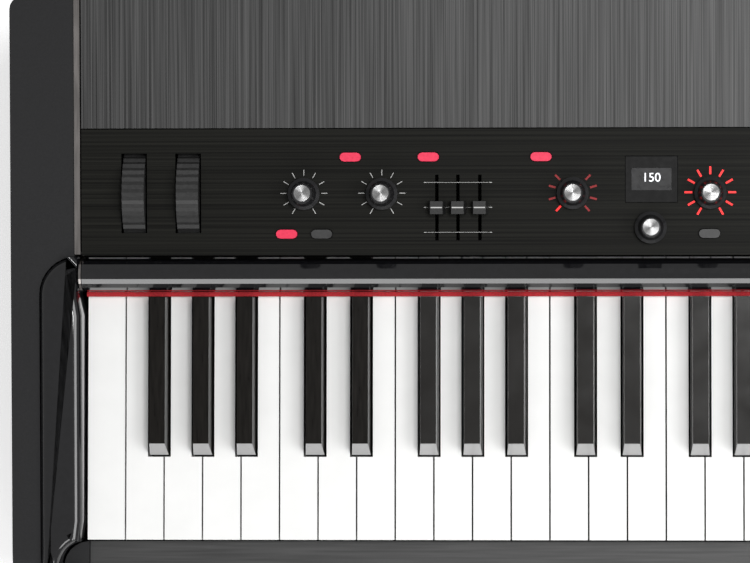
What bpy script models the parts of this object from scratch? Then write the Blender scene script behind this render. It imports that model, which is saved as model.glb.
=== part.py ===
"""Stage piano with 73 keys, in metres, +Z up, player's side at -Y, origin on the floor at the middle."""

import math

import bmesh
import bpy
from mathutils import Matrix, Vector

# Overall size and the slope of the top, which rises to the rear.
WIDTH = 1.099
DEPTH = 0.355
REAR_HEIGHT = 0.139
SLOPE = math.radians(3.4)
GAP = 0.0003
SHEET = 0.0025

# Feet and bottom pan.
FOOT_HEIGHT = 0.006
FOOT_RADIUS = 0.011
FOOT_X = 0.430
FOOT_Y = 0.130
PAN_THICK = 0.004
BOSS_HEIGHT = 0.014
BOSS_SIDE = 0.008

# End blocks, arms and trim strips.
BLOCK_INNER_X = 0.5108
BLOCK_NOSE = 0.020
BLOCK_REAR_CORNER = 0.008
ARM_OUTER_X = 0.532
ARM_INNER_X = 0.5063
ARM_REAR_Y = 0.0202
ARM_REAR_RADIUS = 0.023
ARM_RISE = 0.004
ARM_DROP = 0.040
ARM_EDGE = 0.0065
TRIM_WIDTH = 0.0035
TRIM_DROP = 0.012
CAP_RADIUS = 0.0157
CAP_INNER_X = 0.5048
CAP_SETBACK = 0.0061
TRIM_FRONT_STEP_Y = -0.0030
TRIM_FRONT_WIDTH = 0.0014

# Keys.
WHITE_COUNT = 43
KEY_COUNT = 73
HINGED_KEYS = 12
FIRST_SEMITONE = 4
KEY_PITCH = 0.0235
KEY_GAP = 0.0010
KEY_TOP = 0.110
KEY_THICK = 0.018
KEY_FRONT_Y = -0.1515
KEY_REAR_Y = 0.024
KEY_PIVOT_Y = 0.020
KEY_PIVOT_LIFT = 0.001
BLACK_OFFSETS = {1: -0.0018, 3: 0.0029, 6: -0.0029, 8: 0.0002, 10: 0.0033}
BLACK_SETBACK = 0.0516
BLACK_RISE = 0.012
BLACK_FOOT_WIDTH = 0.0115
BLACK_TOP_WIDTH = 0.0094
BLACK_SLOPE_RUN = 0.007
BLACK_CAP_REAR_Y = -0.0040
NOTCH_WIDTH = 0.014
NOTCH_FRONT_GAP = 0.0012

# Key bed.
RAIL_FRONT_Y = 0.014
RAIL_REAR_Y = 0.026
RAIL_BOTTOM = 0.014
REST_CLEARANCE = 0.0005
FUSED_DEPTH = 0.001

# Slip, felt and the half-round rail behind the keys.
SLIP_REAR_Y = -0.1525
SLIP_TOP = 0.098
SLIP_NOSE = 0.010
FELT_FRONT_Y = -0.0035
FELT_REAR_Y = -0.0004
FELT_CLEARANCE = 0.0005
FELT_THICK = 0.0030
BAR_REAR_Y = 0.0196
BAR_RISE = 0.0022
BAR_STEPS = 10

# Control panel and rear cover.
PANEL_FRONT_Y = 0.0208
PANEL_REAR_Y = 0.0969
COVER_FRONT_Y = 0.0975
COVER_FLANGE = 0.012
PANEL_EDGE_X = 0.5062

# Controls, each at (x, y) on the panel.
KNOB_RADIUS = 0.0097
KNOB_TOP_RADIUS = 0.0056
KNOB_HEIGHT = 0.0155
KNOB_SKIRT = 0.0030
KNOB_STEPS = 20
BUTTON_LENGTH = 0.0128
BUTTON_WIDTH = 0.0053
BUTTON_PROUD = 0.0014
BUTTON_DEEP = 0.0030
BUTTON_CLEARANCE = 0.0004
SECTION_PITCH = 0.170
SELECTOR_AT = (-0.2091, 0.0580)
LEVEL_AT = (-0.1265, 0.0580)
VARIATION_AT = (-0.1623, 0.0373)
ENSEMBLE_BUTTON_AT = (-0.2282, 0.0799)
EDIT_BUTTON_AT = (-0.1269, 0.0336)
DISPLAY_AT = (-0.1618, 0.0662)
DISPLAY_SIZE = (0.0311, 0.0275)
DISPLAY_DEEP = 0.0035
SLIDERS = {"eq_low_slider": -0.2910, "eq_mid_slider": -0.2783, "eq_high_slider": -0.2651}
SLIDER_Y = 0.0494
SLOT_LENGTH = 0.0396
SLOT_WIDTH = 0.0021
SLIDER_CAP = (0.0104, 0.0077, 0.0085)
SLIDER_STEM = 0.0013
SLIDER_LIFT = 0.0006

# Wheels.
WHEELS = {"pitch_wheel": -0.4742, "mod_wheel": -0.4414}
WHEEL_Y = 0.0583
WHEEL_RADIUS = 0.030
WHEEL_PROUD = 0.0076
WHEEL_WIDTH = 0.0133
WHEEL_RIBS = 40
RIB_DEPTH = 0.0008
WHEEL_SLOT = (0.0156, 0.0480)
AXLE_RADIUS = 0.004
AXLE_CLEARANCE = 0.0003
EAR_THICK = 0.002

# Rear sockets, by their x and height.
REAR_THICK = 0.0027
SOCKET_Z = 0.045
JACK_BORE = 0.0033
JACK_X = {"left": -0.115, "right": -0.092, "phones": -0.066, "damper": -0.040, "pedal": -0.014}
XLR_BORE = 0.0095
XLR_X = (-0.189, -0.159)
BOARD_THICK = 0.003
BOARD_DEPTH = 0.050
SOCKET_DEPTH = 0.020
SOCKET_SIDE = 0.018
XLR_SIDE = 0.026
INLET_X = -0.456
INLET_HOLE = (0.024, 0.017)
INLET_BODY = (0.032, 0.026)
SWITCH_X = -0.240
SWITCH_SIZE = (0.0130, 0.0190)
SWITCH_SWING = math.radians(14)


def new_collection(name):
    collection = bpy.data.collections.new(name)
    bpy.context.scene.collection.children.link(collection)
    return collection


for old in list(bpy.data.objects):
    bpy.data.objects.remove(old, do_unlink=True)
PARTS = new_collection("stage_piano")
CUTTERS = new_collection("cutters")


def material(name, colour, roughness, metallic=0.0):
    made = bpy.data.materials.new(name)
    made.use_nodes = True
    shader = made.node_tree.nodes["Principled BSDF"]
    shader.inputs["Base Color"].default_value = (*colour, 1.0)
    shader.inputs["Roughness"].default_value = roughness
    shader.inputs["Metallic"].default_value = metallic
    return made


def finish_object(obj, look=None, cutter=False):
    (CUTTERS if cutter else PARTS).objects.link(obj)
    if cutter:
        obj.hide_render = True
        obj.display_type = "WIRE"
    elif look:
        obj.data.materials.append(material(obj.name, *look))
    return obj


def mesh_object(name, bm, look=None, cutter=False):
    mesh = bpy.data.meshes.new(name)
    bmesh.ops.recalc_face_normals(bm, faces=bm.faces)
    bm.to_mesh(mesh)
    bm.free()
    return finish_object(bpy.data.objects.new(name, mesh), look, cutter)


def box(name, low, high, look=None, cutter=False, place=None):
    """A box between two corners, in the frame that place gives."""
    low, high = Vector(low), Vector(high)
    bm = bmesh.new()
    bmesh.ops.create_cube(bm, size=1.0, matrix=Matrix.Diagonal((*(high - low), 1.0)))
    bmesh.ops.translate(bm, verts=bm.verts, vec=(low + high) / 2)
    obj = mesh_object(name, bm, look, cutter)
    if place is not None:
        obj.matrix_world = place
    return obj


def rod(name, radius, depth, place, look=None, cutter=False, steps=16):
    """A cylinder of this depth, centred in the frame that place gives, along its Z."""
    bm = bmesh.new()
    bmesh.ops.create_cone(
        bm, cap_ends=True, segments=steps, radius1=radius, radius2=radius, depth=depth
    )
    obj = mesh_object(name, bm, look, cutter)
    obj.matrix_world = place
    return obj


def outline_solid(name, outlines, thick, place, look=None, cutter=False):
    """Flat outlines, the later ones holes in the first, filled and made this thick about their plane."""
    curve = bpy.data.curves.new(name, "CURVE")
    curve.dimensions = "2D"
    curve.fill_mode = "BOTH"
    curve.extrude = thick / 2
    for outline in outlines:
        spline = curve.splines.new("POLY")
        spline.points.add(len(outline) - 1)
        for point, (x, y) in zip(spline.points, outline):
            point.co = (x, y, 0.0, 1.0)
        spline.use_cyclic_u = True
    guide = bpy.data.objects.new(name + "_outline", curve)
    CUTTERS.objects.link(guide)
    graph = bpy.context.evaluated_depsgraph_get()
    mesh = bpy.data.meshes.new_from_object(guide.evaluated_get(graph))
    bpy.data.objects.remove(guide, do_unlink=True)
    mesh.name = name
    mesh.materials.clear()
    bm = bmesh.new()
    bm.from_mesh(mesh)
    bmesh.ops.remove_doubles(bm, verts=bm.verts, dist=1e-6)
    bmesh.ops.recalc_face_normals(bm, faces=bm.faces)
    bm.to_mesh(mesh)
    bm.free()
    obj = finish_object(bpy.data.objects.new(name, mesh), look, cutter)
    obj.matrix_world = place
    return obj


def turned(name, profile, steps, place, look):
    """A profile of (radius, height) points, top to bottom, turned round the Z of place."""
    mesh = bpy.data.meshes.new(name)
    edges = [(i, i + 1) for i in range(len(profile) - 1)]
    mesh.from_pydata([(r, 0.0, z) for r, z in profile], edges, [])
    obj = finish_object(bpy.data.objects.new(name, mesh), look)
    screw = obj.modifiers.new("turn", "SCREW")
    screw.steps = screw.render_steps = steps
    screw.use_merge_vertices = True
    screw.merge_threshold = 0.00005
    obj.matrix_world = place
    return obj


def boolean(obj, other, operation="DIFFERENCE"):
    modifier = obj.modifiers.new(other.name, "BOOLEAN")
    modifier.solver = "EXACT"
    modifier.operation = operation
    modifier.object = other


def bevel(obj, width, segments=1, angle=40):
    modifier = obj.modifiers.new("edges", "BEVEL")
    modifier.width = width
    modifier.segments = segments
    modifier.limit_method = "ANGLE"
    modifier.angle_limit = math.radians(angle)


def arc(centre, radius, start, end, steps):
    """Points on an arc, from start to end in degrees."""
    angles = [math.radians(start + (end - start) * i / steps) for i in range(steps + 1)]
    return [(centre[0] + radius * math.cos(a), centre[1] + radius * math.sin(a)) for a in angles]


def top_at(y):
    """Height of the sloping top at this y."""
    return REAR_HEIGHT - (DEPTH / 2 - y) * math.tan(SLOPE)


def on_panel(x, y, lift=0.0):
    """The frame that lies on the sloping top at x, y, raised square to it."""
    turn = Matrix.Rotation(SLOPE, 4, "X")
    return Matrix.Translation((x, y, top_at(y))) @ turn @ Matrix.Translation((0, 0, lift))


# Maps an outline's (x, y) to world (y, z), with its thickness along world X.
SIDEWAYS = Matrix(((0, 0, 1, 0), (1, 0, 0, 0), (0, 1, 0, 0), (0, 0, 0, 1)))
ALONG_Y = Matrix.Rotation(math.radians(90), 4, "X")


def along_x(middle_x):
    return Matrix.Translation((middle_x, 0, 0)) @ SIDEWAYS


BLACK_GLOSS = ((0.006, 0.006, 0.007), 0.12)
BLACK_MATTE = ((0.022, 0.022, 0.023), 0.55)
DARK_METAL = ((0.050, 0.050, 0.050), 0.42, 0.6)
TRIM_METAL = ((0.28, 0.26, 0.25), 0.3, 1.0)
RUBBER = ((0.02, 0.02, 0.02), 0.8)
FELT_RED = ((0.45, 0.02, 0.03), 0.95)
IVORY = ((0.92, 0.92, 0.91), 0.25)
BOARD_GREEN = ((0.02, 0.14, 0.06), 0.5)
LIT_RED = ((0.55, 0.03, 0.07), 0.35)


def make_bottom():
    low = (-BLOCK_INNER_X + GAP, SLIP_REAR_Y - 0.0220, FOOT_HEIGHT + GAP)
    high = (BLOCK_INNER_X - GAP, DEPTH / 2 - REAR_THICK - GAP, FOOT_HEIGHT + GAP + PAN_THICK)
    pan = box("bottom_pan", low, high, BLACK_MATTE)
    floor = high[2]
    for i, (x, y) in enumerate(boss_places()):
        name = f"boss_{i}"
        foot = (x - BOSS_SIDE / 2, y - BOSS_SIDE / 2, floor - PAN_THICK / 2)
        head = (x + BOSS_SIDE / 2, y + BOSS_SIDE / 2, floor + BOSS_HEIGHT)
        boolean(pan, box(name, foot, head, cutter=True), "UNION")
    for side, x in (("left", -FOOT_X), ("right", FOOT_X)):
        for end, y in (("front", -FOOT_Y), ("rear", FOOT_Y)):
            place = Matrix.Translation((x, y, FOOT_HEIGHT / 2))
            rod(f"foot_{side}_{end}", FOOT_RADIUS, FOOT_HEIGHT, place, RUBBER)


def boss_places():
    jack_middle = (XLR_X[0] + JACK_X["pedal"]) / 2
    jack_half = (JACK_X["pedal"] - XLR_X[0]) / 2
    board_y = DEPTH / 2 - REAR_THICK - BOARD_DEPTH * 0.65
    places = [(jack_middle + s * jack_half, board_y) for s in (-1, 1)]
    places += [(MAIN_BOARD_X + s * MAIN_BOARD_HALF[0] * 0.9, MAIN_BOARD_Y) for s in (-1, 1)]
    places.append((INLET_X, DEPTH / 2 - REAR_THICK - SOCKET_DEPTH / 2))
    return places


MAIN_BOARD_X = 0.170
MAIN_BOARD_Y = 0.125
MAIN_BOARD_HALF = (0.130, 0.040)


def boss_top():
    return FOOT_HEIGHT + GAP + PAN_THICK + BOSS_HEIGHT


def make_end_block(side, name):
    """One wooden-look side cheek: a side profile with a rounded nose, cut away for the arm."""
    front, rear = -DEPTH / 2, DEPTH / 2
    nose = (front + BLOCK_NOSE, top_at(front) - BLOCK_NOSE)
    low = FOOT_HEIGHT + GAP
    outline = [(rear, low), (rear, top_at(rear))]
    outline += arc(nose, BLOCK_NOSE, 90 + 3.4, 180, 6)
    outline += arc((front + 0.006, low + 0.006), 0.006, 180, 270, 3)
    thick = WIDTH / 2 - BLOCK_INNER_X
    middle = side * (WIDTH / 2 + BLOCK_INNER_X) / 2
    block = outline_solid(name, [outline], thick, along_x(middle), BLACK_MATTE)
    corner = Matrix.Translation((side * WIDTH / 2, rear, REAR_HEIGHT / 2))
    blank = outline_solid(
        name + "_corner",
        [corner_outline(side, BLOCK_REAR_CORNER)],
        REAR_HEIGHT * 1.2,
        corner,
        cutter=True,
    )
    boolean(block, blank)
    outer = [(x, y) for x, y in arm_outline(side, GAP)]
    notch = outline_solid(
        name + "_notch", [outer], ARM_DROP * 2 + 2 * GAP, on_panel(0, 0), cutter=True
    )
    boolean(block, notch)
    bevel(block, 0.0012, 1, 50)
    return block


def corner_outline(side, radius):
    """What is cut from a square corner at the origin to round it."""
    points = [(side * 0.01, 0.01), (side * 0.01, -radius), (0, -radius)]
    points += [(side * (x - radius), y - radius) for x, y in arc((0, 0), radius, 0, 90, 5)]
    points += [(-side * radius, 0.01)]
    return points


def arm_outline(side, grow=0.0):
    """Plan of an arm: rounded at the rear outer corner, hollowed round the front end cap."""
    inner, outer = ARM_INNER_X - grow, ARM_OUTER_X + grow
    rear = ARM_REAR_Y + grow
    front = -DEPTH / 2 + 0.0035 - grow
    radius = ARM_REAR_RADIUS + grow
    hollow = CAP_RADIUS + GAP - grow
    cap_y = SLIP_REAR_Y - CAP_RADIUS
    strip = inner + TRIM_FRONT_WIDTH + 2 * GAP
    if grow:
        points = [(0.50, front), (0.50, rear)]
    else:
        points = arc((CAP_INNER_X, cap_y), hollow, 0, 90, 6)
        points.reverse()
        points = [(inner, SLIP_REAR_Y + GAP)] + [p for p in points if p[0] > inner]
        points = points + [(CAP_INNER_X + hollow, front)]
        points.reverse()
        points += [(inner, TRIM_FRONT_STEP_Y), (strip, TRIM_FRONT_STEP_Y), (strip, rear)]
    points += arc((outer - radius, rear - radius), radius, 90, 0, 8)
    points.append((outer, front))
    return [(side * x, y) for x, y in points]


def make_arm(side, name):
    """One glossy arm beside the keys, with round shoulders, lying in its end block's notch."""
    tall = ARM_DROP + ARM_RISE
    place = on_panel(0, 0, (ARM_RISE - ARM_DROP) / 2)
    arm = outline_solid(name, [arm_outline(side)], tall, place, BLACK_GLOSS)
    mesh = arm.data
    bm = bmesh.new()
    bm.from_mesh(mesh)
    crown = [e for e in bm.edges if all(v.co.z > tall / 2 - 1e-5 for v in e.verts)]
    rim = [e for e in crown if any(abs(f.normal.z) < 0.5 for f in e.link_faces)]
    bmesh.ops.bevel(
        bm, geom=rim, offset=ARM_EDGE * 0.45, segments=3, affect="EDGES", clamp_overlap=True
    )
    bmesh.ops.recalc_face_normals(bm, faces=bm.faces)
    bm.to_mesh(mesh)
    bm.free()
    return arm


def bar_profile():
    """The half-round rail: (y, z) points, from its front foot over the crest to the rear."""
    front, rear = FELT_REAR_Y, BAR_REAR_Y
    middle, half = (front + rear) / 2, (rear - front) / 2
    foot = KEY_TOP + FELT_CLEARANCE
    spring = foot + 0.0045
    points = [(front, foot)]
    for i in range(BAR_STEPS + 1):
        a = math.pi * (1 - i / BAR_STEPS)
        y = middle + half * math.cos(a)
        crest = top_at(middle) + BAR_RISE
        z = spring + (crest - spring) * math.sin(a) ** 0.75
        points.append((y, z))
    points.append((rear, foot))
    return points


def make_trim(side, name):
    """A metal strip between cheek and panel, which ends in a thin lip along the rail's end."""
    inner = BLOCK_INNER_X - GAP - TRIM_WIDTH
    rear = DEPTH / 2 - 0.0006
    front = ARM_REAR_Y + 2 * GAP + TRIM_DROP * math.tan(SLOPE)
    outline = [
        (front, top_at(front) - TRIM_DROP),
        (rear, top_at(rear) - TRIM_DROP),
        (rear, top_at(rear) + GAP),
        (front, top_at(front) + GAP),
    ]
    middle = side * (inner + TRIM_WIDTH / 2)
    strip = outline_solid(name, [outline], TRIM_WIDTH, along_x(middle), TRIM_METAL)
    lip_mid = side * (ARM_INNER_X + GAP + TRIM_FRONT_WIDTH / 2)
    lip = [(y, z + 0.0008) for y, z in bar_profile()]
    lip = [(max(y, TRIM_FRONT_STEP_Y + GAP), z) for y, z in lip]
    lip[-1] = (BAR_REAR_Y + 0.006, lip[-1][1])
    lip.insert(-1, (BAR_REAR_Y + 0.006, top_at(BAR_REAR_Y)))
    front = outline_solid(
        name + "_lip", [lip], TRIM_FRONT_WIDTH, along_x(lip_mid), cutter=True
    )
    boolean(strip, front, "UNION")
    return strip


def make_end_cap(side, name):
    """The small block at the key slip's end, with a quarter-round corner let into the arm."""
    front = -DEPTH / 2 + GAP
    shelf = -DEPTH / 2 + CAP_SETBACK
    radius = CAP_RADIUS - GAP
    cap_y = SLIP_REAR_Y - CAP_RADIUS
    inner, outer = CAP_INNER_X + GAP, BLOCK_INNER_X - GAP
    points = [(outer, shelf), (outer, front), (inner, front), (inner, cap_y + radius)]
    points += arc((CAP_INNER_X, cap_y), radius, 84, 0, 6)
    points.append((CAP_INNER_X + radius, shelf))
    outline = [(side * x, y) for x, y in points]
    low, high = top_at(0) - ARM_DROP + 0.002, SLIP_TOP + 0.004
    place = Matrix.Translation((0, 0, (low + high) / 2))
    cap = outline_solid(name, [outline], high - low, place, BLACK_MATTE)
    near, far = sorted((side * inner, side * outer))
    foot = FOOT_HEIGHT + 2 * GAP + PAN_THICK
    leg = box(
        name + "_leg",
        (near, front + GAP / 2, foot),
        (far, cap_y + radius / 2, low + 0.002),
        cutter=True,
    )
    boolean(cap, leg, "UNION")
    return cap


def make_slip():
    """The rail in front of the keys, whose front wall runs down to the bottom pan."""
    front, rear = -DEPTH / 2, SLIP_REAR_Y - GAP
    low = FOOT_HEIGHT + GAP + PAN_THICK + GAP
    nose = (front + SLIP_NOSE, SLIP_TOP - SLIP_NOSE)
    outline = [(rear, SLIP_TOP)] + arc(nose, SLIP_NOSE, 90, 180, 5)
    outline += [(front, low), (front + 0.006, low), (front + 0.006, SLIP_TOP - 0.024)]
    outline += [(rear, SLIP_TOP - 0.024)]
    length = 2 * CAP_INNER_X
    return outline_solid("key_slip", [outline], length, along_x(0), DARK_METAL)


def make_rail_and_felt():
    length = 2 * (ARM_INNER_X)
    outline_solid("panel_rail", [bar_profile()], length, along_x(0), BLACK_GLOSS)
    half = KEY_PITCH * WHITE_COUNT / 2
    low = (-half, FELT_FRONT_Y, KEY_TOP + FELT_CLEARANCE)
    high = (half, FELT_REAR_Y - GAP, KEY_TOP + FELT_CLEARANCE + FELT_THICK)
    box("felt_strip", low, high, FELT_RED)


def make_covers():
    """The control panel, with its cut-outs, and the brushed rear cover with a turned-down edge."""
    middle = (PANEL_FRONT_Y + PANEL_REAR_Y) / 2
    half = (PANEL_REAR_Y - PANEL_FRONT_Y) / 2 / math.cos(SLOPE)
    place = on_panel(0, middle)
    low, high = (-PANEL_EDGE_X, -half, -SHEET), (PANEL_EDGE_X, half, 0.0)
    panel = box("control_panel", low, high, BLACK_MATTE, place=place)
    rear = DEPTH / 2
    outline = [
        (COVER_FRONT_Y, top_at(COVER_FRONT_Y)),
        (rear, top_at(rear)),
        (rear, top_at(rear) - COVER_FLANGE),
        (rear - SHEET, top_at(rear) - COVER_FLANGE),
        (rear - SHEET, top_at(rear) - SHEET),
        (COVER_FRONT_Y, top_at(COVER_FRONT_Y) - SHEET),
    ]
    outline_solid("rear_top_cover", [outline], 2 * PANEL_EDGE_X, along_x(0), DARK_METAL)
    return panel


def make_knob(name, at):
    profile = [
        (0.0, KNOB_HEIGHT),
        (KNOB_TOP_RADIUS, KNOB_HEIGHT),
        (KNOB_TOP_RADIUS + 0.0006, KNOB_HEIGHT - 0.0006),
        (KNOB_RADIUS * 0.80, KNOB_SKIRT + 0.0015),
        (KNOB_RADIUS, KNOB_SKIRT),
        (KNOB_RADIUS, 0.0),
        (0.0, 0.0),
    ]
    turned(name, profile, KNOB_STEPS, on_panel(*at, GAP), BLACK_GLOSS)


def pill(length, width, steps=5):
    half = (length - width) / 2
    points = arc((half, 0), width / 2, -90, 90, steps)
    return points + arc((-half, 0), width / 2, 90, 270, steps)


def make_button(name, at, panel, lit):
    tall = BUTTON_PROUD + BUTTON_DEEP
    place = on_panel(*at)
    up = Matrix.Translation((0, 0, (BUTTON_PROUD - BUTTON_DEEP) / 2))
    button = outline_solid(
        name, [pill(BUTTON_LENGTH, BUTTON_WIDTH)], tall, place, LIT_RED if lit else BLACK_MATTE
    )
    button.data.transform(up)
    grow = 2 * BUTTON_CLEARANCE
    hole = pill(BUTTON_LENGTH + grow, BUTTON_WIDTH + grow)
    boolean(panel, outline_solid(name + "_hole", [hole], SHEET * 4, place, cutter=True))


def make_slider(name, x, panel):
    width, length, tall = SLIDER_CAP
    half, stem = width / 2, SLIDER_STEM / 2
    outline = [
        (-stem, -SHEET - 0.001),
        (stem, -SHEET - 0.001),
        (stem, SLIDER_LIFT),
        (half, SLIDER_LIFT),
        (half * 0.72, tall),
        (-half * 0.72, tall),
        (-half, SLIDER_LIFT),
        (-stem, SLIDER_LIFT),
    ]
    place = on_panel(x, SLIDER_Y)
    upright = Matrix.Rotation(math.radians(90), 4, "X")
    cap = outline_solid(name, [outline], length, place, BLACK_MATTE)
    cap.data.transform(upright)
    low = (-SLOT_WIDTH / 2, -SLOT_LENGTH / 2, -2 * SHEET)
    high = (SLOT_WIDTH / 2, SLOT_LENGTH / 2, SHEET)
    boolean(panel, box(name + "_slot", low, high, cutter=True, place=place))


def make_display(name, at, panel):
    half_x, half_y = DISPLAY_SIZE[0] / 2, DISPLAY_SIZE[1] / 2
    place = on_panel(*at)
    box(name, (-half_x, -half_y, -DISPLAY_DEEP), (half_x, half_y, 0.0004), BLACK_GLOSS, place=place)
    low = (-half_x - GAP, -half_y - GAP, -2 * SHEET)
    high = (half_x + GAP, half_y + GAP, SHEET)
    boolean(panel, box(name + "_window", low, high, cutter=True, place=place))


def make_wheels(panel):
    """Two ribbed wheels on one axle, which ears under the panel carry."""
    centre_z = top_at(WHEEL_Y) + WHEEL_PROUD - WHEEL_RADIUS
    for name, x in WHEELS.items():
        rim = []
        for i in range(WHEEL_RIBS * 2):
            radius = WHEEL_RADIUS - (i % 2) * RIB_DEPTH
            angle = math.pi * i / WHEEL_RIBS
            rim.append((radius * math.cos(angle), radius * math.sin(angle)))
        bore = arc((0, 0), AXLE_RADIUS + AXLE_CLEARANCE, 0, 345, 23)
        place = Matrix.Translation((x, WHEEL_Y, centre_z)) @ SIDEWAYS
        outline_solid(name, [rim, bore], WHEEL_WIDTH, place, BLACK_MATTE)
        half_x, half_y = WHEEL_SLOT[0] / 2, WHEEL_SLOT[1] / 2
        slot = box(
            name + "_slot",
            (-half_x, -half_y, -2 * SHEET),
            (half_x, half_y, SHEET),
            cutter=True,
            place=on_panel(x, WHEEL_Y),
        )
        boolean(panel, slot)
    pitch, mod = WHEELS.values()
    clear = WHEEL_SLOT[0] / 2
    ears = [pitch - clear - EAR_THICK, (pitch + mod) / 2 - EAR_THICK / 2, mod + clear]
    ends = (ears[0], ears[2] + EAR_THICK)
    turn = Matrix.Rotation(math.radians(90), 4, "Y")
    place = Matrix.Translation((sum(ends) / 2, WHEEL_Y, centre_z)) @ turn
    bracket = rod("wheel_bracket", AXLE_RADIUS, ends[1] - ends[0], place, DARK_METAL, steps=24)
    for i, x in enumerate(ears):
        low = (x, WHEEL_Y - 0.009, centre_z - 0.008)
        high = (x + EAR_THICK, WHEEL_Y + 0.009, top_at(WHEEL_Y - 0.009) - SHEET - 2 * GAP)
        boolean(bracket, box(f"ear_{i}", low, high, cutter=True), "UNION")


def key_layout():
    """Each key as (index, semitone, white number, or centre x of a black key)."""
    keys, white = [], 0
    for index in range(KEY_COUNT):
        semitone = (FIRST_SEMITONE + index) % 12
        edge = -KEY_PITCH * WHITE_COUNT / 2 + white * KEY_PITCH
        if semitone in BLACK_OFFSETS:
            keys.append((index, True, edge + BLACK_OFFSETS[semitone]))
        else:
            keys.append((index, False, edge))
            white += 1
    return keys


def white_key(name, left, before, after, place, cutter):
    """A white key: wide in front, with room behind for the black keys beside it."""
    notch_y = KEY_FRONT_Y + BLACK_SETBACK - NOTCH_FRONT_GAP
    near, far = left + KEY_GAP / 2, left + KEY_PITCH - KEY_GAP / 2
    outline = [(near, KEY_FRONT_Y), (far, KEY_FRONT_Y)]
    if after is not None:
        edge = after - NOTCH_WIDTH / 2
        outline += [(far, notch_y), (edge, notch_y), (edge, KEY_REAR_Y)]
    else:
        outline.append((far, KEY_REAR_Y))
    if before is not None:
        edge = before + NOTCH_WIDTH / 2
        outline += [(edge, KEY_REAR_Y), (edge, notch_y), (near, notch_y)]
    else:
        outline.append((near, KEY_REAR_Y))
    shift = place.translation
    outline = [(x - shift.x, y - shift.y) for x, y in outline]
    obj = outline_solid(name, [outline], KEY_THICK, place, IVORY, cutter)
    obj.data.transform(Matrix.Translation((0, 0, KEY_TOP - KEY_THICK / 2 - shift.z)))
    return obj


def black_key(name, centre, place, cutter):
    """A black key: a tapered cap with a sloping front, on a low lever that runs under the rail."""
    front = KEY_FRONT_Y + BLACK_SETBACK
    low, high = KEY_TOP - KEY_THICK, KEY_TOP + BLACK_RISE
    lever = KEY_TOP - 0.0005
    outline = [
        (front, low),
        (KEY_REAR_Y, low),
        (KEY_REAR_Y, lever),
        (BLACK_CAP_REAR_Y, lever),
        (BLACK_CAP_REAR_Y, high),
        (front + BLACK_SLOPE_RUN, high),
        (front, KEY_TOP),
    ]
    shift = place.translation
    outline = [(y - shift.y, z - shift.z) for y, z in outline]
    obj = outline_solid(
        name, [outline], BLACK_FOOT_WIDTH, Matrix.Translation(shift) @ SIDEWAYS, BLACK_GLOSS, cutter
    )
    for vert in obj.data.vertices:
        if vert.co.y > high - shift.z - 1e-5:
            vert.co.z *= BLACK_TOP_WIDTH / BLACK_FOOT_WIDTH
    obj.data.transform(Matrix.Translation((0, 0, centre - shift.x)))
    return obj


def make_keys():
    """The first octave's keys turn on the rail; the others are one piece with the frame."""
    keys = key_layout()
    centres = {index: x for index, black, x in keys if black}
    pivot = (KEY_PIVOT_Y, KEY_TOP - KEY_THICK + KEY_PIVOT_LIFT)
    half = KEY_PITCH * WHITE_COUNT / 2
    bottom = KEY_TOP - KEY_THICK - REST_CLEARANCE
    low = (-half, RAIL_FRONT_Y, RAIL_BOTTOM)
    frame = box("key_frame", low, (half, RAIL_REAR_Y, bottom), DARK_METAL)
    split = centres[HINGED_KEYS - 1] + NOTCH_WIDTH / 2
    step = box(
        "fused_step",
        (split, RAIL_FRONT_Y + 0.001, bottom - 0.004),
        (half - 0.001, RAIL_REAR_Y - 0.001, KEY_TOP - KEY_THICK + FUSED_DEPTH),
        cutter=True,
    )
    boolean(frame, step, "UNION")
    for index, black, x in keys:
        hinged = index < HINGED_KEYS
        name = f"key_{index + 1:02d}" if hinged else f"fixed_key_{index + 1:02d}"
        middle = x if black else x + KEY_PITCH / 2
        place = Matrix.Translation((middle, pivot[0], pivot[1]))
        if black:
            obj = black_key(name, x, place, not hinged)
        else:
            before, after = centres.get(index - 1), centres.get(index + 1)
            obj = white_key(name, x, before, after, place, not hinged)
        if not hinged:
            boolean(frame, obj, "UNION")


def socket_cutter(name, x, radius, depth, cutter=True):
    middle = DEPTH / 2 - depth / 2 + 0.002
    place = Matrix.Translation((x, middle, SOCKET_Z)) @ ALONG_Y
    return rod(name, radius, depth, place, cutter=cutter)


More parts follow.
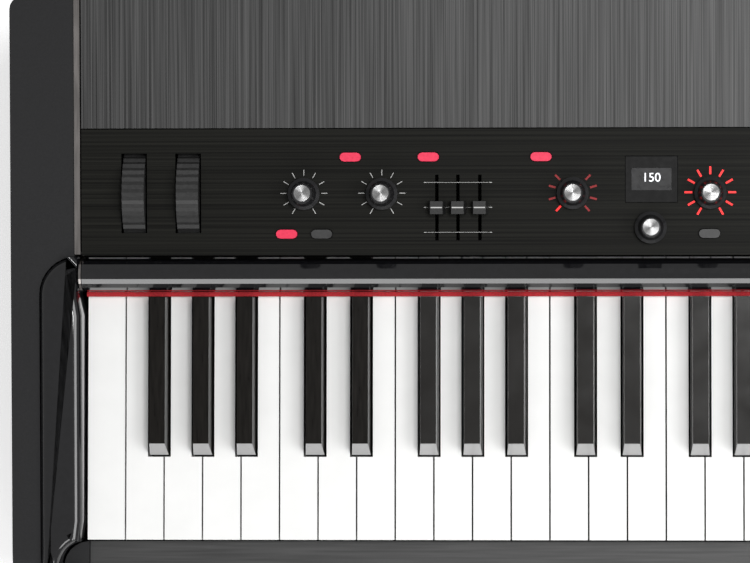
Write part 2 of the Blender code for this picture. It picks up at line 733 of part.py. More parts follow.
def make_rear():
    """The rear panel and, behind it, the boards with their sockets, the inlet and the switch."""
    inner_y = DEPTH / 2 - REAR_THICK
    top = top_at(DEPTH / 2) - COVER_FLANGE - GAP
    low = (-BLOCK_INNER_X + GAP, inner_y, FOOT_HEIGHT + GAP)
    panel = box("rear_panel", low, (BLOCK_INNER_X - GAP, DEPTH / 2, top), DARK_METAL)
    face = inner_y - GAP
    board_low = boss_top() + GAP
    left, right = XLR_X[0] - XLR_SIDE / 2 - 0.004, JACK_X["pedal"] + SOCKET_SIDE / 2 + 0.004
    low = (left, face - BOARD_DEPTH, board_low)
    high = (right, face - 0.001, board_low + BOARD_THICK)
    board = box("jack_board", low, high, BOARD_GREEN)
    sockets = [(f"jack_{n}", x, SOCKET_SIDE, JACK_BORE) for n, x in JACK_X.items()]
    sockets += [(f"xlr_{i}", x, XLR_SIDE, XLR_BORE) for i, x in enumerate(XLR_X)]
    for name, x, side, bore in sockets:
        low = (x - side / 2, face - SOCKET_DEPTH, board_low + BOARD_THICK / 2)
        high = (x + side / 2, face, SOCKET_Z + side / 2)
        boolean(board, box(name + "_body", low, high, cutter=True), "UNION")
    for name, x, side, bore in sockets:
        boolean(board, socket_cutter(name + "_bore", x, bore, SOCKET_DEPTH))
        boolean(panel, socket_cutter(name + "_hole", x, bore + 0.001, 0.02))
    make_inlet(panel, face, board_low)
    make_switch(panel, face)
    low = (MAIN_BOARD_X - MAIN_BOARD_HALF[0], MAIN_BOARD_Y - MAIN_BOARD_HALF[1], board_low)
    high = (MAIN_BOARD_X + MAIN_BOARD_HALF[0], MAIN_BOARD_Y + MAIN_BOARD_HALF[1], board_low)
    box("main_board", low, Vector(high) + Vector((0, 0, 0.0016)), BOARD_GREEN)


def make_inlet(panel, face, board_low):
    half_x, half_z = INLET_BODY[0] / 2, INLET_BODY[1] / 2
    low = (INLET_X - half_x, face - SOCKET_DEPTH, board_low)
    inlet = box("power_inlet", low, (INLET_X + half_x, face, SOCKET_Z + half_z), BLACK_MATTE)
    half_x, half_z = INLET_HOLE[0] / 2, INLET_HOLE[1] / 2
    low = (INLET_X - half_x, face - SOCKET_DEPTH + 0.004, SOCKET_Z - half_z)
    high = (INLET_X + half_x, DEPTH / 2 + 0.01, SOCKET_Z + half_z)
    recess = box("inlet_recess", low, high, cutter=True)
    boolean(inlet, recess)
    boolean(panel, recess)


def make_switch(panel, face):
    """A rocker that sits in a hole of the rear panel and swings about X."""
    half_x, half_z = SWITCH_SIZE[0] / 2, SWITCH_SIZE[1] / 2
    pivot_y = face - 0.001
    depth = DEPTH / 2 - pivot_y - 0.0004
    lean = half_z * math.tan(SWITCH_SWING)
    outline = [(0.0, half_z), (depth, half_z), (depth - 0.0004, 0.0), (depth - lean, -half_z)]
    outline.append((-lean - 0.001, -half_z))
    place = Matrix.Translation((SWITCH_X, pivot_y, SOCKET_Z)) @ SIDEWAYS
    outline_solid("power_switch", [outline], SWITCH_SIZE[0], place, BLACK_GLOSS)
    room = 0.0005
    low = (SWITCH_X - half_x - room, face - 0.02, SOCKET_Z - half_z - 2 * room)
    high = (SWITCH_X + half_x + room, DEPTH / 2 + 0.01, SOCKET_Z + half_z + 2 * room)
    boolean(panel, box("switch_hole", low, high, cutter=True))


def section_place(at, section):
    return (at[0] + section * SECTION_PITCH, at[1])


def make_controls(panel):
    make_knob("master_volume_knob", (-0.3713, 0.0578))
    make_knob("dynamics_knob", (-0.3242, 0.0578))
    make_button("dynamics_button", (-0.3432, 0.0799), panel, True)
    make_button("equalizer_button", (-0.2961, 0.0799), panel, True)
    make_button("switch_1_button", (-0.3818, 0.0336), panel, True)
    make_button("switch_2_button", (-0.3606, 0.0336), panel, False)
    for section, word in enumerate(("ensemble", "piano")):
        make_knob(f"{word}_selector", section_place(SELECTOR_AT, section))
        make_knob(f"{word}_level_knob", section_place(LEVEL_AT, section))
        make_knob(f"{word}_variation_knob", section_place(VARIATION_AT, section))
        place = section_place(ENSEMBLE_BUTTON_AT, section)
        make_button(f"{word}_button", place, panel, section == 0)
        make_button(f"{word}_edit_button", section_place(EDIT_BUTTON_AT, section), panel, False)
        make_display(f"{word}_display", section_place(DISPLAY_AT, section), panel)
    for name, x in SLIDERS.items():
        make_slider(name, x, panel)


def build():
    make_bottom()
    for side, word in ((-1, "left"), (1, "right")):
        make_end_block(side, f"{word}_end_block")
        make_arm(side, f"{word}_arm")
        make_trim(side, f"{word}_trim")
        make_end_cap(side, f"{word}_end_cap")
    make_slip()
    make_rail_and_felt()
    panel = make_covers()
    make_controls(panel)
    make_wheels(panel)
    make_keys()
    make_rear()
    for obj in PARTS.objects:
        obj.data.shade_smooth()
        obj.data.set_sharp_from_angle(angle=math.radians(35))


build()
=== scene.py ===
# %% [markdown]
# This lesson dresses a stage piano. The solids come packed from the construction script, and each
# one already lies where it belongs. Here they get their finishes, and the small parts that only the
# eye needs are added: metal knob faces, printed ticks, light bars and a lit display.

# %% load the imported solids
import math

import bmesh
import bpy
from mathutils import Matrix, Vector


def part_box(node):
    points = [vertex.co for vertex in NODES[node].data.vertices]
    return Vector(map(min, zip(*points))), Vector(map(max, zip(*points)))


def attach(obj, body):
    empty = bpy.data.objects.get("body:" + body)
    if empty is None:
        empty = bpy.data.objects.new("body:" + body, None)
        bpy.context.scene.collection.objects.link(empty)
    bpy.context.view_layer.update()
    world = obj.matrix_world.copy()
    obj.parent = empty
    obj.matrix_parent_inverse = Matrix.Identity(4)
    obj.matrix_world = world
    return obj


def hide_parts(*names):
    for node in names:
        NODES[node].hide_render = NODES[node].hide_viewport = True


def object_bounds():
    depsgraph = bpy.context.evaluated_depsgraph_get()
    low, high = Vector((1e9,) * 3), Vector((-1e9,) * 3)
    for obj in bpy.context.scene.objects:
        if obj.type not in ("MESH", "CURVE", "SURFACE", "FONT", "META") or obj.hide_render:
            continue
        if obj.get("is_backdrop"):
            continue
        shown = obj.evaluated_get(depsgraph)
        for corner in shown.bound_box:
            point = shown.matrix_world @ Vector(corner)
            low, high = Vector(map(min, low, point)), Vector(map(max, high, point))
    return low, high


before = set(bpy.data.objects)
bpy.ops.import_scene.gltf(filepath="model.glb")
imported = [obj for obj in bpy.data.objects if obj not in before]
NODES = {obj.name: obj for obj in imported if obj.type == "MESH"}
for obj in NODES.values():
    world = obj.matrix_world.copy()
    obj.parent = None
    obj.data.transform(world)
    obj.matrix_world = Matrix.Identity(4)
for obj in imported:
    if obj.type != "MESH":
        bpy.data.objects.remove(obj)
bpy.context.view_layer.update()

# %% [markdown]
# The photograph looks almost straight down at the left two fifths of the instrument, with a long
# lens. The camera stands above that part, and leans a little, so that the case rises to the rear as
# it does in the photograph.

# %% camera
camera_data = bpy.data.cameras.new("camera")
camera_data.lens = 164.0
camera_data.shift_x = -0.13
camera = bpy.data.objects.new("camera", camera_data)
camera.location = (-0.200, -0.06506, 2.18644)
camera.rotation_euler = (0.03397, 0.03382, 0.00003)
bpy.context.scene.collection.objects.link(camera)
bpy.context.scene.camera = camera
print("lens:", camera_data.lens, "mm")

# %% [markdown]
# Light in a product studio is soft and plain. A pale world gives the fill. One large lamp stands at
# the player's right, one hangs overhead to the right of the middle, and a long strip lamp in front
# lights the sloping ends of the black keys.

# %% world and lamps
scene = bpy.context.scene
scene.view_settings.view_transform = "Standard"
world = bpy.data.worlds.new("studio")
scene.world = world
world.use_nodes = True
background = world.node_tree.nodes["Background"]
background.inputs["Color"].default_value = (1.0, 1.0, 1.0, 1.0)
background.inputs["Strength"].default_value = 0.36


def lamp(name, place, aim, size, power):
    """A rectangular soft lamp that looks at a point."""
    data = bpy.data.lights.new(name, "AREA")
    data.shape = "RECTANGLE"
    data.size, data.size_y = size
    data.energy = power
    made = bpy.data.objects.new(name, data)
    made.location = place
    made.rotation_euler = (Vector(aim) - Vector(place)).to_track_quat("-Z", "Y").to_euler()
    scene.collection.objects.link(made)


lamp("softbox_right", (1.25, -0.30, 1.7), (-0.1, 0.0, 0.1), (1.4, 1.0), 20)
lamp("strip_front", (-0.3, -1.5, 1.0), (-0.3, 0.0, 0.1), (1.6, 0.4), 9)
lamp("overhead", (0.42, 0.30, 2.40), (0.1, 0.05, 0.1), (1.1, 0.30), 26)
print("lamps:", len(bpy.data.lights))

# %% [markdown]
# Two helpers shade and link what is made. Edges sharper than 35 degrees stay crisp, and all others
# are shaded as round.

# %% helpers for meshes
CRISP_EDGE = math.radians(35)


def shade(mesh):
    """Shades a mesh as round, apart from its sharp edges."""
    mesh.shade_smooth()
    mesh.set_sharp_from_angle(angle=CRISP_EDGE)


def mesh_piece(name, bm, look, body="case"):
    """Links a mesh made with bmesh, gives it a finish and lets it ride on a body."""
    mesh = bpy.data.meshes.new(name)
    bm.to_mesh(mesh)
    bm.free()
    mesh.materials.append(look)
    shade(mesh)
    made = bpy.data.objects.new(name, mesh)
    scene.collection.objects.link(made)
    if body:
        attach(made, body)
    return made


print("edges over", round(math.degrees(CRISP_EDGE)), "degrees stay crisp")

# %% [markdown]
# Every finish is a Principled shader whose colour and roughness vary a little over the surface.
# The pattern is laid out in the object's own metres, so a scratch or a grain has its real size.

# %% helpers for finishes
SMOOTHEST = 0.02
RELIEF_DEPTH = 0.0002


def finish(name, colour, roughness, metallic=0.0, vary=0.25, grain=(300, 300, 300), bump=0.0,
           coat=0.0, speckle=0.08, shine=0.5):
    """A finish with noise in its colour and roughness; grain is the pattern's count per metre."""
    made = bpy.data.materials.new(name)
    made.use_nodes = True
    tree = made.node_tree
    shader = tree.nodes["Principled BSDF"]
    shader.inputs["Metallic"].default_value = metallic
    shader.inputs["Specular IOR Level"].default_value = shine
    shader.inputs["Coat Weight"].default_value = coat
    shader.inputs["Coat Roughness"].default_value = 0.06
    place = tree.nodes.new("ShaderNodeTexCoord")
    stretch = tree.nodes.new("ShaderNodeMapping")
    stretch.inputs["Scale"].default_value = grain
    noise = tree.nodes.new("ShaderNodeTexNoise")
    noise.inputs["Scale"].default_value = 1.0
    noise.inputs["Detail"].default_value = 3.0
    tree.links.new(place.outputs["Object"], stretch.inputs["Vector"])
    tree.links.new(stretch.outputs["Vector"], noise.inputs["Vector"])
    ramp = tree.nodes.new("ShaderNodeValToRGB")
    ramp.color_ramp.elements[0].position = 0.3
    ramp.color_ramp.elements[1].position = 0.7
    ramp.color_ramp.elements[0].color = (*[c * (1 - vary) for c in colour], 1)
    ramp.color_ramp.elements[1].color = (*[min(1, c * (1 + vary)) for c in colour], 1)
    tree.links.new(noise.outputs["Fac"], ramp.inputs["Fac"])
    tree.links.new(ramp.outputs["Color"], shader.inputs["Base Color"])
    rough = tree.nodes.new("ShaderNodeMapRange")
    rough.inputs["To Min"].default_value = max(SMOOTHEST, roughness - speckle)
    rough.inputs["To Max"].default_value = min(1.0, roughness + speckle)
    tree.links.new(noise.outputs["Fac"], rough.inputs["Value"])
    tree.links.new(rough.outputs["Result"], shader.inputs["Roughness"])
    if bump:
        relief = tree.nodes.new("ShaderNodeBump")
        relief.inputs["Strength"].default_value = bump
        relief.inputs["Distance"].default_value = RELIEF_DEPTH
        tree.links.new(noise.outputs["Fac"], relief.inputs["Height"])
        tree.links.new(relief.outputs["Normal"], shader.inputs["Normal"])
    return made


def glow(name, colour, strength):
    """A finish that gives off a little of its own light."""
    made = finish(name, colour, 0.3, vary=0.1, grain=(600, 600, 600))
    shader = made.node_tree.nodes["Principled BSDF"]
    shader.inputs["Emission Color"].default_value = (*colour, 1.0)
    shader.inputs["Emission Strength"].default_value = strength
    return made


def dress(material, *names):
    """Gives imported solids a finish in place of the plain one."""
    for name in names:
        mesh = NODES[name].data
        mesh.materials.clear()
        mesh.materials.append(material)
        shade(mesh)


print("a relief is at most", RELIEF_DEPTH * 1000, "mm deep")

# %% [markdown]
# The cheeks are moulded with a fine matte skin. The rear cover is brushed metal whose hairlines run
# front to back, and the control panel has fine lines from side to side. The arms and the bar behind
# the keys are polished, and the trim is satin metal.

# %% case finishes
CHEEK = finish("cheek_matte", (0.018, 0.018, 0.019), 0.6, vary=0.12, grain=(900, 900, 900),
               bump=0.1, shine=0.22)
HAIRLINE = finish("hairline_cover", (0.050, 0.050, 0.050), 0.45, metallic=0.35, vary=0.75,
                  grain=(1500, 5, 60), bump=0.05)
PANEL = finish("lined_panel", (0.0075, 0.0075, 0.0062), 0.5, vary=0.75, grain=(3, 900, 900),
               bump=0.04, shine=0.1)
POLISHED = finish("polished_black", (0.006, 0.006, 0.007), 0.10, vary=0.2, coat=0.6,
                  speckle=0.03)
SATIN = finish("satin_trim", (0.30, 0.28, 0.27), 0.30, metallic=1.0, vary=0.15,
               grain=(400, 30, 400))
SLIP = finish("slip_grey", (0.060, 0.060, 0.060), 0.42, metallic=0.4, vary=0.2,
              grain=(20, 600, 600))
RUBBER = finish("foot_rubber", (0.02, 0.02, 0.02), 0.85, vary=0.3, grain=(800, 800, 800),
                bump=0.2)
FELT = finish("red_felt", (0.42, 0.018, 0.025), 0.95, vary=0.4, grain=(1800, 1800, 1800),
              bump=0.6)
BOARD = finish("circuit_board", (0.02, 0.14, 0.06), 0.5, vary=0.4, grain=(200, 200, 200))
dress(CHEEK, "left_end_block", "right_end_block", "bottom_pan", "left_end_cap", "right_end_cap",
      "power_inlet", "power_switch")
dress(HAIRLINE, "rear_top_cover")
dress(PANEL, "control_panel")
dress(POLISHED, "left_arm", "right_arm", "panel_rail")
dress(SATIN, "left_trim", "right_trim", "wheel_bracket")
dress(SLIP, "key_slip", "rear_panel")
dress(RUBBER, *[n for n in NODES if n.startswith("foot_")])
dress(FELT, "felt_strip")
dress(BOARD, "jack_board", "main_board")
print("case finishes:", len(bpy.data.materials))

# %% [markdown]
# White keys are smooth and nearly pure white, and black keys are satin. The sloping front end of a
# black key catches the light, and that highlight is painted into its colour: what faces the player
# there is painted a paler grey. The keys that are one piece with the frame need all of this in one
# finish, which picks its colour by height: what stands above the white tops is a black key.

# %% keys
WHITE_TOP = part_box("key_01")[1].z
ABOVE_WHITE = WHITE_TOP + 0.0001
BLACK_AT_LEAST = WHITE_TOP + 0.001
EBONY_COLOUR = (0.008, 0.007, 0.006)
# The paler grey is a painted highlight on the sloping ends of the black keys.
SLOPE_HIGHLIGHT_COLOUR = (0.42, 0.42, 0.42)
FACES_PLAYER = -0.6
IVORY = finish("key_white", (0.90, 0.90, 0.89), 0.22, vary=0.015, grain=(60, 60, 60))
EBONY = finish("key_black", EBONY_COLOUR, 0.3, vary=0.3, grain=(500, 60, 500), bump=0.05,
               shine=0.15)


def base_of(made):
    """The socket that holds a finish's colour."""
    return made.node_tree.nodes["Principled BSDF"].inputs["Base Color"]


def paint_slope_highlight(made, colour):
    """Mixes a painted highlight, a paler grey, into a colour where faces turn to the player."""
    tree = made.node_tree
    normal = tree.nodes.new("ShaderNodeNewGeometry")
    parts = tree.nodes.new("ShaderNodeSeparateXYZ")
    tree.links.new(normal.outputs["True Normal"], parts.inputs["Vector"])
    highlight_mask = tree.nodes.new("ShaderNodeMath")
    highlight_mask.operation = "LESS_THAN"
    highlight_mask.inputs[1].default_value = FACES_PLAYER
    tree.links.new(parts.outputs["Y"], highlight_mask.inputs[0])
    mix = tree.nodes.new("ShaderNodeMix")
    mix.data_type = "RGBA"
    mix.inputs["B"].default_value = (*SLOPE_HIGHLIGHT_COLOUR, 1.0)
    tree.links.new(highlight_mask.outputs["Value"], mix.inputs["Factor"])
    tree.links.new(colour, mix.inputs["A"])
    return mix.outputs["Result"]


def keyboard_finish():
    """White below the white tops, and above them a black key's colour with its painted highlight.
    """
    made = IVORY.copy()
    made.name = "keyboard_two_tone_painted_highlight"
    tree = made.node_tree
    white = base_of(made).links[0].from_socket
    place = tree.nodes.new("ShaderNodeTexCoord")
    parts = tree.nodes.new("ShaderNodeSeparateXYZ")
    tree.links.new(place.outputs["Object"], parts.inputs["Vector"])
    above = tree.nodes.new("ShaderNodeMath")
    above.operation = "GREATER_THAN"
    above.inputs[1].default_value = ABOVE_WHITE
    tree.links.new(parts.outputs["Z"], above.inputs[0])
    mix = tree.nodes.new("ShaderNodeMix")
    mix.data_type = "RGBA"
    black = tree.nodes.new("ShaderNodeRGB")
    black.outputs["Color"].default_value = (*EBONY_COLOUR, 1.0)
    tree.links.new(paint_slope_highlight(made, black.outputs["Color"]), mix.inputs["B"])
    tree.links.new(above.outputs["Value"], mix.inputs["Factor"])
    tree.links.new(white, mix.inputs["A"])
    tree.links.new(mix.outputs["Result"], base_of(made))
    return made


# The black keys get the painted highlight on their sloping ends, where they face the player.
ebony_with_painted_highlight = paint_slope_highlight(EBONY, base_of(EBONY).links[0].from_socket)
EBONY.node_tree.links.new(ebony_with_painted_highlight, base_of(EBONY))
hinged_keys = [n for n in NODES if n[:5] in ("key_0", "key_1")]
black_keys = [n for n in hinged_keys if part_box(n)[1].z > BLACK_AT_LEAST]
white_keys = [n for n in hinged_keys if n not in black_keys]
dress(IVORY, *white_keys)
dress(EBONY, *black_keys)
dress(keyboard_finish(), "key_frame")
print(len(white_keys), "white and", len(black_keys), "black hinged keys")

# %% [markdown]
# The top slopes up to the rear. A small frame of axes that lies on it makes it easy to set things
# on the panel: x to the right, y up the slope, z square to the surface.

# %% places on the panel
SLOPE = math.radians(3.4)
PRINT_THICK = 0.00012
cover_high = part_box("rear_top_cover")[1]


def on_panel(x, y, lift=0.0):
    """The frame on the sloping top at x, y, raised square to it by lift."""
    z = cover_high.z - (cover_high.y - y) * math.tan(SLOPE)
    turn = Matrix.Rotation(SLOPE, 4, "X")
    return Matrix.Translation((x, y, z)) @ turn @ Matrix.Translation((0, 0, lift))


def middle(name):
    """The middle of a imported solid's box."""
    low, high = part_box(name)
    return (low + high) / 2


def strip(bm, start, end, width, place, thick=PRINT_THICK):
    """A flat bar from start to end, in the panel's frame, added to a mesh."""
    start, end = Vector((*start, 0.0)), Vector((*end, 0.0))
    along = end - start
    angle = math.atan2(along.y, along.x)
    size = Matrix.Diagonal((along.length, width, thick, 1.0))
    turn = Matrix.Rotation(angle, 4, "Z")
    where = place @ Matrix.Translation((start + end) / 2) @ turn @ size
    bmesh.ops.create_cube(bm, size=1.0, matrix=where)


PRINT = finish("printed_white", (0.50, 0.50, 0.49), 0.5, vary=0.1)
LAMP_RED = glow("lamp_red", (0.75, 0.015, 0.015), 1.0)
LAMP_DIM = glow("lamp_dim", (0.22, 0.006, 0.008), 0.25)
LIT_BUTTON = glow("lit_button", (0.62, 0.030, 0.075), 0.35)
DARK_BUTTON = finish("unlit_button", (0.033, 0.033, 0.033), 0.4, vary=0.15)
KNOB = finish("knob_black", (0.008, 0.008, 0.009), 0.35, vary=0.2, grain=(700, 700, 700))
print("the top rises", round(math.degrees(SLOPE), 1), "degrees to the rear")

# %% [markdown]
# A knob has a black body and a turned aluminium face. On the real one the lathe leaves fine rings,
# which make bright wedges of light. A disc with high anisotropy, and a tangent that runs round the
# middle, gives the same wedges. A small pointer lies near the rim. Both are as thin as print, so
# that the knob grows no taller.

# %% knob faces and pointers
KNOB_HIGH = 0.0158
FACE_RADIUS = 0.0049
FACE_LIFT = 0.00001
FACE_SIDES = 48
POINTER_FROM, POINTER_TO = 0.5, 0.92
POINTER_WIDTH = 0.0009
RINGS_PER_METRE = 900.0


def turned_metal():
    """Bare metal from a lathe: rings in its colour, and light that spreads across them."""
    made = bpy.data.materials.new("turned_metal")
    made.use_nodes = True
    tree = made.node_tree
    shader = tree.nodes["Principled BSDF"]
    shader.inputs["Metallic"].default_value = 1.0
    shader.inputs["Anisotropic"].default_value = 0.9
    shader.inputs["Roughness"].default_value = 0.35
    tangent = tree.nodes.new("ShaderNodeTangent")
    tangent.direction_type = "RADIAL"
    tangent.axis = "Z"
    tree.links.new(tangent.outputs["Tangent"], shader.inputs["Tangent"])
    place = tree.nodes.new("ShaderNodeTexCoord")
    rings = tree.nodes.new("ShaderNodeTexWave")
    rings.wave_type = "RINGS"
    rings.rings_direction = "Z"
    rings.inputs["Scale"].default_value = RINGS_PER_METRE
    tree.links.new(place.outputs["Object"], rings.inputs["Vector"])
    ramp = tree.nodes.new("ShaderNodeValToRGB")
    ramp.color_ramp.elements[0].color = (0.30, 0.30, 0.30, 1)
    ramp.color_ramp.elements[1].color = (0.55, 0.55, 0.55, 1)
    tree.links.new(rings.outputs["Fac"], ramp.inputs["Fac"])
    tree.links.new(ramp.outputs["Color"], shader.inputs["Base Color"])
    return made


def knob_centre(name):
    """The knob stands square to the slope, so its foot is half its height back from its middle."""
    square = Vector((0, -math.sin(SLOPE), math.cos(SLOPE)))
    foot = middle(name) - square * KNOB_HIGH / 2
    return foot.x, foot.y


TURNED = turned_metal()
knobs = [n for n in NODES if n.endswith("_knob") or n.endswith("_selector")]
dress(KNOB, *knobs)
for name in knobs:
    x, y = knob_centre(name)
    bm = bmesh.new()
    bmesh.ops.create_cone(bm, cap_ends=True, segments=FACE_SIDES, radius1=FACE_RADIUS,
                          radius2=FACE_RADIUS, depth=FACE_LIFT)
    face = mesh_piece(name + "_face", bm, TURNED, body=None)
    face.matrix_world = on_panel(x, y, KNOB_HIGH + FACE_LIFT)
    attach(face, name)
    bm = bmesh.new()
    strip(bm, (0, FACE_RADIUS * POINTER_FROM), (0, FACE_RADIUS * POINTER_TO), POINTER_WIDTH,
          on_panel(x, y, KNOB_HIGH + 2 * FACE_LIFT), FACE_LIFT)
    mesh_piece(name + "_pointer", bm, PRINT, name)
print(len(knobs), "knobs have faces")

# %% [markdown]
# Round two of the knobs eleven ticks are printed, 30 degrees apart. Round the level knobs the same
# places hold lit red bars, and the selectors have four bars at each side, with one of them bright.

# %% ticks and light bars
DIAL = range(-150, 151, 30)
SELECTOR_BARS = (-138, -106, -74, -45, 45, 74, 106, 138)
TICKS = (0.0106, 0.0142, 0.0004)
LEVEL_LAMPS = (0.0108, 0.0155, 0.0012)
SELECTOR_LAMPS = (0.0108, 0.0150, 0.0012)


def ring_of_bars(name, knob, sizes, angles, material):
    """Flat bars round a knob; sizes are the inner and outer radius and the width."""
    inner, outer, width = sizes
    bm = bmesh.new()
    place = on_panel(*knob_centre(knob), PRINT_THICK)
    for angle in angles:
        turn = math.radians(90 - angle)
        direction = Vector((math.cos(turn), math.sin(turn)))
        strip(bm, direction * inner, direction * outer, width, place)
    mesh_piece(name, bm, material)


for name in ("master_volume_knob", "dynamics_knob"):
    ring_of_bars(name + "_ticks", name, TICKS, DIAL, PRINT)
for word in ("ensemble", "piano"):
    ring_of_bars(f"{word}_level_lamps", f"{word}_level_knob", LEVEL_LAMPS, DIAL, LAMP_RED)
    selector = f"{word}_selector"
    ring_of_bars(selector + "_lamp", selector, SELECTOR_LAMPS, SELECTOR_BARS[:1], LAMP_RED)
    ring_of_bars(selector + "_lamps", selector, SELECTOR_LAMPS, SELECTOR_BARS[1:], LAMP_DIM)
print(len(DIAL), "ticks on a dial,", len(SELECTOR_BARS), "bars round a selector")

# %% [markdown]
# The pill-shaped buttons are translucent caps over a lamp. Four are lit in the photograph. Each has
# a thin dark rim, which the gap in the panel gives, so only the cap's finish is needed. Each slider
# has a white line across its cap, and a scale of three fine lines is printed under all of them.

# %% buttons, wheels and sliders
lit = ("dynamics_button", "equalizer_button", "switch_1_button", "ensemble_button")
dress(LIT_BUTTON, *lit)
dress(DARK_BUTTON, *[n for n in NODES if n.endswith("_button") and n not in lit])
WHEEL = finish("wheel_black", (0.022, 0.022, 0.022), 0.42, vary=0.2, grain=(600, 600, 600),
               bump=0.1)
dress(WHEEL, "pitch_wheel", "mod_wheel")
SLIDER = finish("slider_black", (0.012, 0.012, 0.012), 0.4, vary=0.2, grain=(700, 700, 700))
CAP_LINE_MARGIN = 0.0036
CAP_LINE_WIDTH, CAP_LINE_THICK = 0.0007, 0.0004
CAP_LINE_BACK, CAP_LINE_LIFT = 0.0003, 0.00005
SCALE_STEP = 0.015
SCALE_BACK, SCALE_LIFT = 0.0003, 0.0001
SCALE_LINE, SCALE_LINE_WIDTH = 0.0185, 0.0002
SCALE_END, SCALE_END_WIDTH = (0.0190, 0.0205), 0.0004
sliders = [n for n in NODES if n.endswith("_slider")]
dress(SLIDER, *sliders)
for name in sliders:
    low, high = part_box(name)
    centre = (low + high) / 2
    bm = bmesh.new()
    long = high.x - low.x - CAP_LINE_MARGIN
    size = Matrix.Diagonal((long, CAP_LINE_WIDTH, CAP_LINE_THICK, 1.0))
    where = Matrix.Translation((centre.x, centre.y - CAP_LINE_BACK, high.z + CAP_LINE_LIFT))
    bmesh.ops.create_cube(bm, size=1.0, matrix=where @ size)
    mesh_piece(name + "_line", bm, PRINT, name)
bm = bmesh.new()
slider_x = sorted(middle(n).x for n in sliders)[1]
slider_y = middle(sliders[0]).y + SCALE_BACK
near, far = SCALE_END
for step in (-SCALE_STEP, 0.0, SCALE_STEP):
    place = on_panel(slider_x, slider_y + step, SCALE_LIFT)
    for left, right in ((-far, -near), (near, far)):
        strip(bm, (left, 0), (right, 0), SCALE_END_WIDTH, place)
    strip(bm, (-SCALE_LINE, 0), (SCALE_LINE, 0), SCALE_LINE_WIDTH, place)
mesh_piece("slider_scale", bm, PRINT)
print(len(lit), "buttons are lit and", len(sliders), "sliders have lines")

# %% [markdown]
# The display is a dark window with plain digits. Text objects turn into meshes here, so that they
# ride on the case like any other piece.

# %% displays
GLASS = finish("display_glass", (0.004, 0.004, 0.004), 0.12, vary=0.2, coat=0.5)
SCREEN = finish("display_screen", (0.010, 0.010, 0.011), 0.3, vary=0.2)
DIGITS = glow("display_digits", (0.85, 0.87, 0.90), 0.8)
SCREEN_HALF, SCREEN_HIGH, SCREEN_LIFT = 0.012, 0.0133, 0.0006
DIGIT_SIZE, DIGIT_BACK, DIGIT_LIFT, DIGIT_EXTRUDE = 0.0075, 0.0008, 0.0009, 0.00005
dress(GLASS, "ensemble_display", "piano_display")


def digits(name, words, at):
    """Digits as a mesh, centred at a place on the panel."""
    data = bpy.data.curves.new(name, "FONT")
    data.body = words
    data.size = DIGIT_SIZE
    data.align_x = data.align_y = "CENTER"
    data.extrude = DIGIT_EXTRUDE
    text = bpy.data.objects.new(name + "_text", data)
    scene.collection.objects.link(text)
    depsgraph = bpy.context.evaluated_depsgraph_get()
    mesh = bpy.data.meshes.new_from_object(text.evaluated_get(depsgraph))
    bpy.data.objects.remove(text)
    mesh.materials.clear()
    mesh.materials.append(DIGITS)
    mesh.transform(on_panel(*at, DIGIT_LIFT))
    made = bpy.data.objects.new(name, mesh)
    scene.collection.objects.link(made)
    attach(made, "case")


for word, number in (("ensemble", "150"), ("piano", "001")):
    centre = middle(f"{word}_display")
    bm = bmesh.new()
    strip(bm, (-SCREEN_HALF, 0), (SCREEN_HALF, 0), SCREEN_HIGH,
          on_panel(centre.x, centre.y, SCREEN_LIFT))
    mesh_piece(f"{word}_screen", bm, SCREEN)
    digits(f"{word}_digits", number, (centre.x, centre.y + DIGIT_BACK))
    print(f"{word} display shows", number)

# %% [markdown]
# On the real instrument the arms are moulded with a round crown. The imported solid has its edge
# rounded by only a few millimetres there. A shell of nearly the same plan stands in for it: rows of
# the outline are drawn in and raised along a quarter circle. The plan is drawn for the right arm,
# and mirrored for the left.

# %% arms with a round crown
CROWN = 0.0068
CROWN_ROWS = 8
ARM_TOP, ARM_FOOT = 0.0040, -0.030
ARM_FRONT_INSET, ARM_REAR_INSET = 0.0012, 0.0024
CORNER_RADIUS = 0.023
CAP_CENTRE, CAP_RADIUS, CAP_TURN = (0.5048, -0.1682), 0.0160, 88
STEP_Y, STEP_WIDTH = -0.0030, 0.0020
INNER_LENGTH = 0.1495
SIDE_PARTS, CORNER_PARTS, CAP_PARTS = 12, 14, 10


def arc(centre, radius, start, end, steps):
    """Points along an arc, with its angles in degrees."""
    angles = [math.radians(start + (end - start) * i / steps) for i in range(steps + 1)]
    return [Vector((centre[0] + radius * math.cos(a), centre[1] + radius * math.sin(a)))
            for a in angles]


def arm_plan(name):
    """The plan of the right arm from a packed box, counterclockwise from the front outer corner."""
    low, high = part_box(name)
    inner, outer = sorted((abs(low.x), abs(high.x)))
    front, rear = low.y + ARM_FRONT_INSET, high.y - ARM_REAR_INSET
    parts = range(1, SIDE_PARTS)
    corner_y = rear - CORNER_RADIUS
    plan = [Vector((outer, front))]
    plan += [Vector((outer, front + (corner_y - front) * i / SIDE_PARTS)) for i in parts]
    plan += arc((outer - CORNER_RADIUS, corner_y), CORNER_RADIUS, 0, 90, CORNER_PARTS)
    plan += [Vector((inner + STEP_WIDTH, rear)), Vector((inner + STEP_WIDTH, STEP_Y))]
    plan += [Vector((inner, STEP_Y - INNER_LENGTH * i / SIDE_PARTS)) for i in parts]
    plan += [p for p in arc(CAP_CENTRE, CAP_RADIUS, CAP_TURN, 0, CAP_PARTS) if p.x > inner]
    plan.append(Vector((CAP_CENTRE[0] + CAP_RADIUS, front)))
    return plan


def inward(plan):
    """A unit step into the plan at each point, square to its edge."""
    steps = []
    for i in range(len(plan)):
        edge = (plan[(i + 1) % len(plan)] - plan[i - 1]).normalized()
        steps.append(Vector((-edge.y, edge.x)))
    return steps


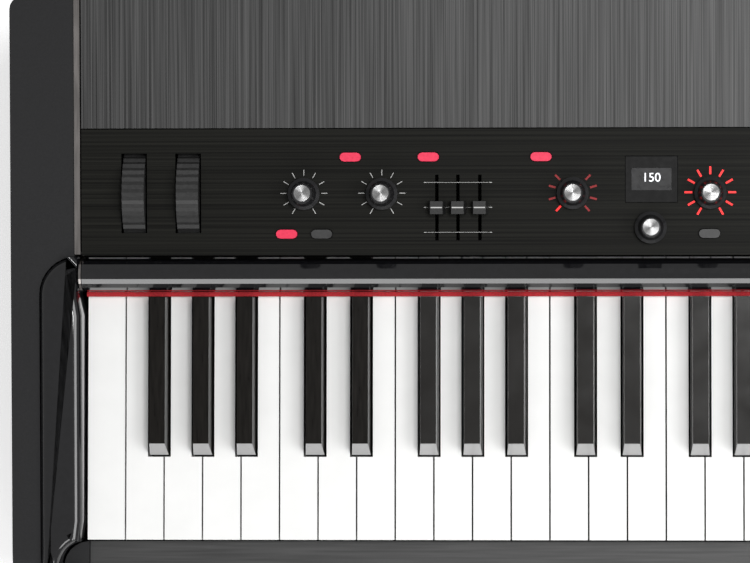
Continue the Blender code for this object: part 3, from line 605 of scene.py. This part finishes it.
def arm_rows():
    """How far each row of the shell is drawn in, and how high it lies over the panel."""
    rows = [(0.0, ARM_FOOT)]
    for i in range(CROWN_ROWS + 1):
        turn = math.pi / 2 * i / CROWN_ROWS
        rows.append((CROWN * (1 - math.cos(turn)), ARM_TOP - CROWN * (1 - math.sin(turn))))
    return rows


def arm_shell(side, name):
    """Builds the shell of one arm; side is 1 at the right and -1 at the left."""
    plan = arm_plan(name)
    steps = inward(plan)
    bm = bmesh.new()
    rings = []
    for inset, height in arm_rows():
        points = [point + step * inset for point, step in zip(plan, steps)]
        rings.append([bm.verts.new(on_panel(side * x, y, height).translation)
                      for x, y in points])
    count = len(plan)
    for lower, upper in zip(rings, rings[1:]):
        for i in range(count):
            j = (i + 1) % count
            bm.faces.new((lower[i], lower[j], upper[j], upper[i]))
    bm.faces.new(rings[-1])
    bm.faces.new(rings[0][::-1])
    bmesh.ops.recalc_face_normals(bm, faces=bm.faces)
    shell = mesh_piece(name + "_shell", bm, POLISHED)
    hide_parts(name)
    print(name, "has a shell of", len(shell.data.polygons), "faces")


for side, name in ((-1, "left_arm"), (1, "right_arm")):
    arm_shell(side, name)

# %% [markdown]
# Between the panel and the bar behind the keys lies a groove, which is dark with shade. A thin
# black strip with no shine stands in it as painted shade: it darkens the groove and hides the backs
# of the keys.

# %% groove painted shade
SHADE_SHEET_DEPTH, SHADE_SHEET_WIDTH, SHADE_SHEET_MARGIN = 0.0045, 0.0011, 0.001
# Painted shade: a black strip with no shine, where the groove is only dark with shade.
GROOVE_SHADE = finish("groove_painted_shade", (0.002, 0.002, 0.002), 0.9, vary=0.2, shine=0.0)
panel_low, panel_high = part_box("control_panel")
shade_sheet_y = (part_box("panel_rail")[1].y + panel_low.y) / 2
bm = bmesh.new()
strip(bm, (panel_low.x + SHADE_SHEET_MARGIN, 0), (panel_high.x - SHADE_SHEET_MARGIN, 0), SHADE_SHEET_WIDTH,
      on_panel(0, shade_sheet_y, -SHADE_SHEET_DEPTH))
mesh_piece("groove_shade_sheet", bm, GROOVE_SHADE)
print("groove seal at y", round(shade_sheet_y, 4))

# %% [markdown]
# The instrument stands on a plain pale floor, which is not part of it. The floor shines a little,
# for camera rays alone, so that it looks nearly white without more light on the instrument.

# %% floor
FLOOR_HALF = 4.0
FLOOR_SHINE = 0.5
bm = bmesh.new()
bmesh.ops.create_grid(bm, x_segments=1, y_segments=1, size=FLOOR_HALF)
FLOOR = finish("floor_pale", (0.93, 0.93, 0.93), 0.9, vary=0.01)
floor = mesh_piece("floor", bm, FLOOR, body=None)
tree = FLOOR.node_tree
shader = tree.nodes["Principled BSDF"]
shader.inputs["Emission Color"].default_value = (1.0, 1.0, 1.0, 1.0)
rays = tree.nodes.new("ShaderNodeLightPath")
share = tree.nodes.new("ShaderNodeMath")
share.operation = "MULTIPLY"
share.inputs[1].default_value = FLOOR_SHINE
tree.links.new(rays.outputs["Is Camera Ray"], share.inputs[0])
tree.links.new(share.outputs["Value"], shader.inputs["Emission Strength"])
floor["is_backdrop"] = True
print("floor:", 2 * FLOOR_HALF, "m square")

# %% [markdown]
# The last cell prints the box of the dressed model, and finishes.

# %% print the box of the dressed model and finish
low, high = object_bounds()
print("visual box:", [round(v, 4) for v in (*low, *high)])
